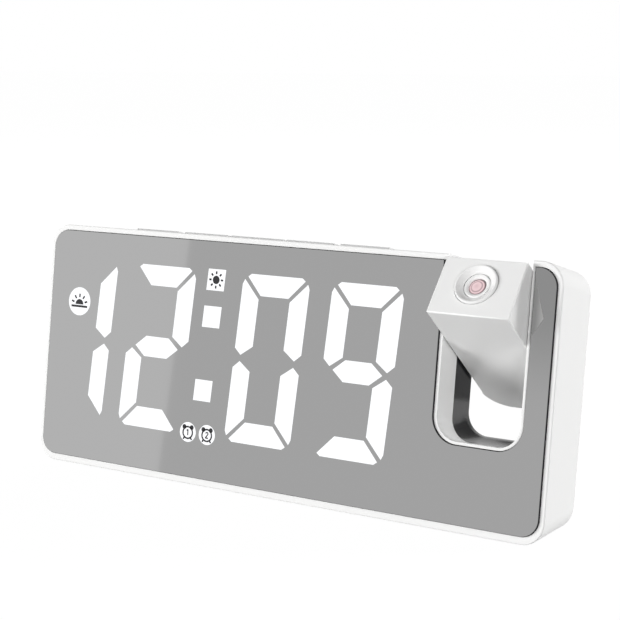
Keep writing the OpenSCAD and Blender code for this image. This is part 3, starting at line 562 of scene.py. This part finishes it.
def set_screws(name, node, way, whole, shank, head_t):
    """Cross-head screws in place of a node's plain ones, which are whole long, their heads facing way."""
    points = bpy.data.meshes.new(name + "_seats")
    points.from_pydata([tuple(centre + way * (shank - whole / 2) * MM) for centre in centres_of(node)], [], [])
    holder = bpy.data.objects.new(name + "_seats", points)
    scene.collection.objects.link(holder)
    modifier = holder.modifiers.new("screws", "NODES")
    modifier.node_group = SCREWS
    turn = Vector((0, 0, 1)).rotation_difference(way).to_euler()
    values = {"Head Radius": HEAD_R * MM, "Head Height": head_t * MM, "Shank Length": shank * MM,
              "Turn": tuple(turn), "Finish": plated_steel}
    for item in SCREWS.interface.items_tree:
        if item.in_out == "INPUT" and item.name in values:
            modifier[item.identifier] = values[item.name]
    graph = bpy.context.evaluated_depsgraph_get()
    mesh = bpy.data.meshes.new_from_object(holder.evaluated_get(graph))
    bpy.data.objects.remove(holder)
    piece = bpy.data.objects.new(name, mesh)
    scene.collection.objects.link(piece)
    finish_edges(piece)
    stand_in(piece, node)


set_screws("case_screws_cross", "case_screws", case_back, whole=7.9, shank=7.0, head_t=0.9)
set_screws("door_screw_cross", "door_screw", case_back, whole=3.5, shank=2.8, head_t=0.7)

# ---------------------------------------------------------------------------------------------
# Base pad. A strip of grey rubber moulded with fine ribs, so that the clock doesn't slide. It is
# glued into a shallow recess in the case's bottom and stands proud of it.
# ---------------------------------------------------------------------------------------------


def dress(material, *names):
    """Gives CAD nodes that keep their shape a finished material."""
    for name in names:
        mesh = nodes[name].data
        mesh.materials.clear()
        mesh.materials.append(material)


rubber = plastic("pad_rubber", (0.14, 0.14, 0.14), gloss=0.75, scale=500.0, depth=0.3)
tree = rubber.node_tree
ribs, height = add_nodes(tree, "ShaderNodeTexWave", "ShaderNodeBump")
set_inputs(ribs, {"Scale": 300.0})
set_inputs(height, {"Distance": GRAIN_HEIGHT})
tree.links.new(tree.nodes["Texture Coordinate"].outputs["Object"], ribs.inputs["Vector"])
tree.links.new(ribs.outputs["Fac"], height.inputs["Height"])
tree.links.new(height.outputs["Normal"], shader_of(rubber).inputs["Normal"])
dress(rubber, "base_pad")

# ---------------------------------------------------------------------------------------------
# Electronics. A display board and a smaller main board, green solder mask over copper, with their
# parts, and the coin cell in its black holder.
# ---------------------------------------------------------------------------------------------

LACQUER, OVER_COPPER = (0.03, 0.15, 0.06), (0.07, 0.26, 0.1)


def solder_mask():
    """Green lacquer with the paler lines of the copper tracks showing through it."""
    material = plastic("solder_mask", LACQUER, gloss=0.3, depth=0.0, mottle=0.1)
    tree = material.node_tree
    tracks, pick = add_nodes(tree, "ShaderNodeTexBrick", "ShaderNodeMix")
    set_inputs(tracks, {"Scale": 120.0, "Mortar Size": 0.04})
    pick.data_type = "RGBA"
    set_inputs(pick, {"A": (*LACQUER, 1.0), "B": (*OVER_COPPER, 1.0)})
    tree.links.new(tree.nodes["Texture Coordinate"].outputs["Object"], tracks.inputs["Vector"])
    tree.links.new(tracks.outputs["Fac"], pick.inputs["Factor"])
    tree.links.new(pick.outputs["Result"], shader_of(material).inputs["Base Color"])
    return material


light_plastic = plastic("light_plastic", (0.78, 0.78, 0.75), gloss=0.4)
black_plastic = plastic("black_plastic", (0.03, 0.03, 0.03), gloss=0.45)
red_epoxy = plastic("red_epoxy", (0.75, 0.03, 0.02), gloss=0.15, depth=0.0)
set_inputs(shader_of(red_epoxy), {"Emission Color": (1.0, 0.05, 0.02, 1.0), "Emission Strength": 1.0})
dress(solder_mask(), "display_board", "main_board", "led_board")
dress(light_plastic, "digit_frame", "display_leds", "board_spacers", "arm_plug")
dress(black_plastic, "clock_chips", "tact_switches", "board_link", "buzzer", "cell_holder", "pivot_bushes",
      "lamp_barrel")
dress(plated_steel, "watch_crystal", "board_screws", "power_inlet", "coin_cell", "friction_washers", "pivot_tubes")
dress(brushed("gold_flash", (0.75, 0.56, 0.24), 0.25), "cell_contact")
dress(lit_white, "segment_diffuser")
dress(plastic("dark_film", (0.06, 0.06, 0.08), gloss=0.3), "digit_slide")
dress(plastic("cable_jacket", (0.22, 0.22, 0.22), gloss=0.55, scale=600.0, depth=0.1), "arm_cable")
dress(plastic("red_insulation", (0.55, 0.04, 0.03), gloss=0.4), "lamp_leads")
dress(red_epoxy, "red_led")

# ---------------------------------------------------------------------------------------------
# Projector arm. A box of white ABS with rounded lower corners, open at its back and shut by a
# screwed cover; it turns on two hollow tubes in the window.
# ---------------------------------------------------------------------------------------------

ARM_TIP = radians(57.6)
ARM_T = 19.1
ARM_CHAMFER = 0.34
ARM_SIDES = [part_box("arm_shell")[i][0] for i in (0, 1)]
PIVOT = (0.0, ARM_T / 2, CASE_H - 19.0)
LENS_X, LENS_Y = 71.3, ARM_T / 2 + 0.8
BORE_ROOM, ON_PLANE = 8.0 * MM, 0.03 * MM


def at_arm(x, y, z):
    """A point of the shut arm, in millimetres, as the arm stands tipped."""
    depth, height = y - PIVOT[1], z - PIVOT[2]
    return at_case(x, PIVOT[1] + depth * cos(ARM_TIP) - height * sin(ARM_TIP),
                   PIVOT[2] + depth * sin(ARM_TIP) + height * cos(ARM_TIP))


lens_axis = (at_arm(0, 0, 1) - at_arm(0, 0, 0)).normalized()
arm_back = (at_arm(0, 1, 0) - at_arm(0, 0, 0)).normalized()


def on_arm_outside(point):
    """Whether a point is on one of the arm's sides or on its lens face, clear of the bores."""
    from_bore = point - at_arm(LENS_X, LENS_Y, CASE_H)
    height = from_bore.dot(lens_axis)
    on_face = abs(height) < ON_PLANE and (from_bore - lens_axis * height).length > BORE_ROOM
    on_side = min(abs(point.x - side) for side in ARM_SIDES) < ON_PLANE
    return on_face or on_side and (point - at_case(point.x / MM, *PIVOT[1:])).length > BORE_ROOM


# The arm's chamfers take a slightly glossier plastic, also whiter than the arm's own white: the whiter colour is a
# painted highlight, a bright line along the edges.
painted_highlight_edge = plastic("painted_highlight_edge", (0.95, 0.95, 0.945), gloss=0.28)
moulded_from("arm_shell", "arm_case", 0.0, "white_shell", white_abs, painted_highlight_edge, chamfer=ARM_CHAMFER,
             outside=on_arm_outside)
moulded_from("arm_cover", "arm_back_cover", FINE_EDGE, "white_shell", white_abs)
set_screws("arm_screws_cross", "arm_screws", arm_back, whole=7.2, shank=6.5, head_t=0.7)

# ---------------------------------------------------------------------------------------------
# Lens. A dished white focus ring turned by a finger, the lens cell that its thread moves, and a
# clear moulded lens in the cell's mouth.
# ---------------------------------------------------------------------------------------------

RING_R, RING_TOP, BEAD_R = 6.55, 0.7, 0.45
RING_SEAT, CATCH_TOP, CATCH_FOOT, CATCH_OUT, NECK_OUT = -0.6, -2.3, -3.0, 1.4, 1.0
CELL_R, CELL_TOP, CELL_LENGTH = 4.1, -0.45, 15.7
CELL_FOOT = CELL_TOP - CELL_LENGTH
BORE_R = CELL_R + 0.08
MOUTH_R, LIP_UNDER, LENS_UNDER = 2.7, CELL_TOP - 0.95, CELL_TOP - 4.15
LENS_R, LENS_CURVE, LENS_APEX = CELL_R - 0.65, 6.0, CELL_TOP - 0.35
ACRYLIC_IOR = 1.49


def turned(name, node, profile, material, steps=96):
    """A ring turned about the lens axis from a closed profile of radius and height over the lens face."""
    shape = bmesh.new()
    rows = []
    for i in range(steps):
        turn = 2 * pi * i / steps
        rows.append([shape.verts.new(at_arm(LENS_X + r * cos(turn), LENS_Y + r * sin(turn), CASE_H + z))
                     for r, z in profile])
    for i in range(steps):
        here, following = rows[i], rows[(i + 1) % steps]
        for j in range(len(profile)):
            k = (j + 1) % len(profile)
            shape.faces.new((here[j], following[j], following[k], here[k]))
    bmesh.ops.remove_doubles(shape, verts=shape.verts, dist=1e-7)
    bmesh.ops.recalc_face_normals(shape, faces=shape.faces)
    piece = new_piece(name, shape, material)
    finish_edges(piece)
    stand_in(piece, node)


lens_white = plastic("lens_trim_white", ABS_WHITE, gloss=0.28, depth=0.008)
bead = [(RING_R - BEAD_R + BEAD_R * cos(radians(a)), RING_TOP - BEAD_R + BEAD_R * sin(radians(a)))
        for a in range(0, 121, 10)]
dish = [(BORE_R + 0.17 + 1.4 * (1 - t), -0.5 + 1.1 * (1 - t) ** 1.6) for t in (0.15, 0.3, 0.45, 0.6, 0.75, 0.9, 1.0)]
turned("focus_ring_turned", "focus_ring",
       [(BORE_R, CATCH_FOOT), (BORE_R + CATCH_OUT, CATCH_FOOT), (BORE_R + CATCH_OUT, CATCH_TOP),
        (BORE_R + NECK_OUT, CATCH_TOP), (BORE_R + NECK_OUT, RING_SEAT), (RING_R, RING_SEAT)] + bead + dish
       + [(BORE_R, RING_SEAT)],
       lens_white)
turned("lens_cell_turned", "lens_cell",
       [(MOUTH_R, LIP_UNDER), (MOUTH_R, CELL_TOP - 0.5), (MOUTH_R + 0.12, CELL_TOP - 0.35), (CELL_R - 0.42, CELL_TOP),
        (CELL_R - 0.3, CELL_TOP - 0.03), (CELL_R - 0.08, CELL_TOP - 0.35), (CELL_R, CELL_TOP - 0.55),
        (CELL_R, CELL_FOOT), (LENS_R - 0.35, CELL_FOOT), (LENS_R - 0.35, LENS_UNDER),
        (LENS_R + 0.05, LENS_UNDER), (LENS_R + 0.05, LIP_UNDER)],
       lens_white)

# Painted glow: the lens's own emission stands in for the lamp's light coming through it. The glow is pale, with a
# painted thin darker ring and a painted dark rim for the shade at the cell's mouth. The rings' centre is set a little
# to one side, so that the dark rim is wider on the other side: a painted dark crescent.
painted_glow_lens = new_material("lens_painted_glow", (0.12, 0.1, 0.1), roughness=0.03, transmission_weight=0.25, emission_strength=1.0)
set_inputs(shader_of(painted_glow_lens), {"IOR": ACRYLIC_IOR})
tree = painted_glow_lens.node_tree
where, reach, band, glow = add_nodes(
    tree, "ShaderNodeTexCoord", "ShaderNodeVectorMath", "ShaderNodeMapRange", "ShaderNodeValToRGB")
reach.operation = "DISTANCE"
reach.inputs[1].default_value = at_arm(LENS_X - 0.25, LENS_Y, CASE_H + LENS_APEX)
set_inputs(band, {"From Max": MOUTH_R * MM})
ramp = glow.color_ramp
for place, tone in ((0.0, (0.6, 0.42, 0.44)), (0.5, (0.72, 0.53, 0.55)), (0.62, (0.36, 0.24, 0.26)),
                    (0.68, (0.4, 0.27, 0.29)), (0.76, (0.78, 0.6, 0.62)), (0.84, (0.6, 0.42, 0.44)),
                    (0.9, (0.18, 0.11, 0.12)), (1.0, (0.03, 0.02, 0.025))):
    stop = ramp.elements[0] if place == 0.0 else ramp.elements[-1] if place == 1.0 else ramp.elements.new(place)
    stop.position = place
    stop.color = (*tone, 1.0)
tree.links.new(where.outputs["Object"], reach.inputs[0])
tree.links.new(reach.outputs["Value"], band.inputs["Value"])
tree.links.new(band.outputs["Result"], glow.inputs["Fac"])
tree.links.new(glow.outputs["Color"], shader_of(painted_glow_lens).inputs["Emission Color"])
dome = [(MOUTH_R * i / 10, LENS_APEX - LENS_CURVE + (LENS_CURVE ** 2 - (MOUTH_R * i / 10) ** 2) ** 0.5)
        for i in range(11)]
turned("projector_lens_turned", "projector_lens",
       dome + [(LENS_R, dome[-1][1]), (LENS_R, LENS_UNDER + 0.3), (2.0, LENS_UNDER + 0.05), (0.0, LENS_UNDER - 0.1)],
       painted_glow_lens)
clear = new_material("clear_acrylic", (0.9, 0.93, 0.95), roughness=0.02, transmission_weight=1.0)
set_inputs(shader_of(clear), {"IOR": ACRYLIC_IOR})
dress(clear, "condenser_lens")

# ---------------------------------------------------------------------------------------------
# Stage. A white floor under soft lamps, the pale room and the dim cards that the mirror shows,
# and the camera. None of it belongs to the clock.
# ---------------------------------------------------------------------------------------------

FLOOR_HALF = 6.0
FLOOR_GLOW, GLOW_SHARE = 1.145, 0.85
ROOM_LIGHT, ROOM_SEEN = 0.2, 1.0

floor_shape = bmesh.new()
bmesh.ops.create_grid(floor_shape, x_segments=1, y_segments=1, size=FLOOR_HALF)
floor_white = new_material("floor_white", (0.35, 0.35, 0.35), roughness=1.0)
floor = new_piece("floor", floor_shape, floor_white)
floor.visible_glossy = False
tree = floor_white.node_tree
path, share, glow, blend, face_side, clear_below, sheet = add_nodes(
    tree, "ShaderNodeLightPath", "ShaderNodeMath", "ShaderNodeEmission", "ShaderNodeMixShader",
    "ShaderNodeNewGeometry", "ShaderNodeBsdfTransparent", "ShaderNodeMixShader")
share.operation = "MULTIPLY"
share.inputs[1].default_value = GLOW_SHARE
set_inputs(glow, {"Strength": FLOOR_GLOW})
tree.links.new(path.outputs["Is Camera Ray"], share.inputs[0])
tree.links.new(share.outputs[0], blend.inputs["Fac"])
tree.links.new(shader_of(floor_white).outputs[0], blend.inputs[1])
tree.links.new(glow.outputs[0], blend.inputs[2])
tree.links.new(face_side.outputs["Backfacing"], sheet.inputs["Fac"])
tree.links.new(blend.outputs[0], sheet.inputs[1])
tree.links.new(clear_below.outputs[0], sheet.inputs[2])
tree.links.new(sheet.outputs[0], tree.nodes["Material Output"].inputs["Surface"])

world = bpy.data.worlds.new("pale_room")
scene.world = world
world.use_nodes = True
tree = world.node_tree
room = tree.nodes["Background"]
set_inputs(room, {"Color": (1.0, 1.0, 1.0, 1.0)})
seen, seen_or_shown, any_of, level = add_nodes(
    tree, "ShaderNodeLightPath", "ShaderNodeMath", "ShaderNodeMath", "ShaderNodeMapRange")
seen_or_shown.operation = any_of.operation = "MAXIMUM"
set_inputs(level, {"To Min": ROOM_LIGHT, "To Max": ROOM_SEEN})
tree.links.new(seen.outputs["Is Camera Ray"], seen_or_shown.inputs[0])
tree.links.new(seen.outputs["Is Glossy Ray"], seen_or_shown.inputs[1])
tree.links.new(seen_or_shown.outputs[0], any_of.inputs[0])
tree.links.new(seen.outputs["Is Transmission Ray"], any_of.inputs[1])
tree.links.new(any_of.outputs[0], level.inputs["Value"])
tree.links.new(level.outputs["Result"], room.inputs["Strength"])


def soft_lamp(name, where, wide, tall, power):
    """A rectangular lamp with a diffuser, aimed at the middle of the clock."""
    lamp = bpy.data.lights.new(name, "AREA")
    lamp.shape = "RECTANGLE"
    lamp.size, lamp.size_y = wide, tall
    lamp.energy = power
    holder = bpy.data.objects.new(name, lamp)
    scene.collection.objects.link(holder)
    way = Vector((0, 0, 0.04)) - Vector(where)
    holder.matrix_world = Matrix.Translation(where) @ way.to_track_quat("-Z", "Y").to_matrix().to_4x4()
    holder.visible_glossy = False


soft_lamp("left_lamp", (-1.6, -1.5, 0.24), wide=1.4, tall=0.5, power=45.5)
soft_lamp("right_lamp", (1.5, -1.45, 0.24), wide=0.8, tall=0.4, power=19.0)
soft_lamp("side_lamp", (1.35, 1.15, 0.55), wide=0.5, tall=0.5, power=19.4)
soft_lamp("back_lamp", (-0.4, 1.3, 1.35), wide=0.8, tall=0.8, power=8.0)

# Where the camera stands and how it looks, in the case's frame, and its focal length for a frame
# of the given width.
STAND, LOOK, UP = (280.33, -412.20, 83.61), (-0.54484, 0.83718, -0.04778), (-0.08699, 0.00024, 0.99621)
FOCAL, FRAME_W, SENSOR = 1608.0, 620.0, 36.0
eye = at_case(*STAND)
ahead, above = ((at_case(*(a + b for a, b in zip(STAND, way))) - eye).normalized() for way in (LOOK, UP))
right = ahead.cross(above).normalized()
view = bpy.data.cameras.new("camera")
view.sensor_width = SENSOR
view.lens = SENSOR * FOCAL / FRAME_W
view.clip_start = 0.01
camera = bpy.data.objects.new("camera", view)
scene.collection.objects.link(camera)
camera.matrix_world = Matrix.Translation(eye) @ Matrix((right, right.cross(ahead), -ahead)).transposed().to_4x4()
scene.camera = camera

# The edge of the first card makes the line between the mirror's two tones; the second shades the
# strip beside the arm and fades out downwards.
MIRROR_LINE = ((-35.9, 79.2), (-42.3, 1.3))
STRIP = ((84.5, 34), (97, 34), (97, 84), (84.5, 84))
ghost = eye - 2 * (eye - at_case(0, 0, 0)).dot(case_back) * case_back


def mirror_card(name, spots, reach, strength, fade=None):
    """A card that only the mirror shows, over the given points of the panel, reach times as far off."""
    mesh = bpy.data.meshes.new(name)
    mesh.from_pydata([tuple(ghost + (spot - ghost) * reach) for spot in spots], [], [(0, 1, 2, 3)])
    card = bpy.data.objects.new(name, mesh)
    scene.collection.objects.link(card)
    dim = bpy.data.materials.new(name)
    dim.use_nodes = True
    tree = dim.node_tree
    tree.nodes.remove(tree.nodes["Principled BSDF"])
    glow = tree.nodes.new("ShaderNodeEmission")
    set_inputs(glow, {"Strength": strength})
    shown = glow.outputs[0]
    if fade:
        where, height, band, clear, blend = add_nodes(
            tree, "ShaderNodeTexCoord", "ShaderNodeSeparateXYZ", "ShaderNodeMapRange",
            "ShaderNodeBsdfTransparent", "ShaderNodeMixShader")
        band.interpolation_type = "SMOOTHSTEP"
        set_inputs(band, {"From Min": fade[0], "From Max": fade[1]})
        tree.links.new(where.outputs["Generated"], height.inputs[0])
        tree.links.new(height.outputs["Z"], band.inputs["Value"])
        tree.links.new(band.outputs["Result"], blend.inputs["Fac"])
        tree.links.new(clear.outputs[0], blend.inputs[1])
        tree.links.new(shown, blend.inputs[2])
        shown = blend.outputs[0]
    tree.links.new(shown, tree.nodes["Material Output"].inputs["Surface"])
    mesh.materials.append(dim)
    card.visible_camera = card.visible_diffuse = card.visible_transmission = False
    card.visible_shadow = card.visible_volume_scatter = False


top, foot = (at_case(x, 0, z) for x, z in MIRROR_LINE)
over, under, aside = top + (top - foot) * 3.0, foot - (top - foot) * 2.0, Vector((0.45, 0, 0))
mirror_card("mirror_screen", [under, over, over + aside, under + aside], 3.0, 0.82)
mirror_card("strip_card", [at_case(x, 0, z) for x, z in STRIP], 2.6, 0.6, fade=(0.08, 0.68))

scene.view_settings.view_transform = "Standard"
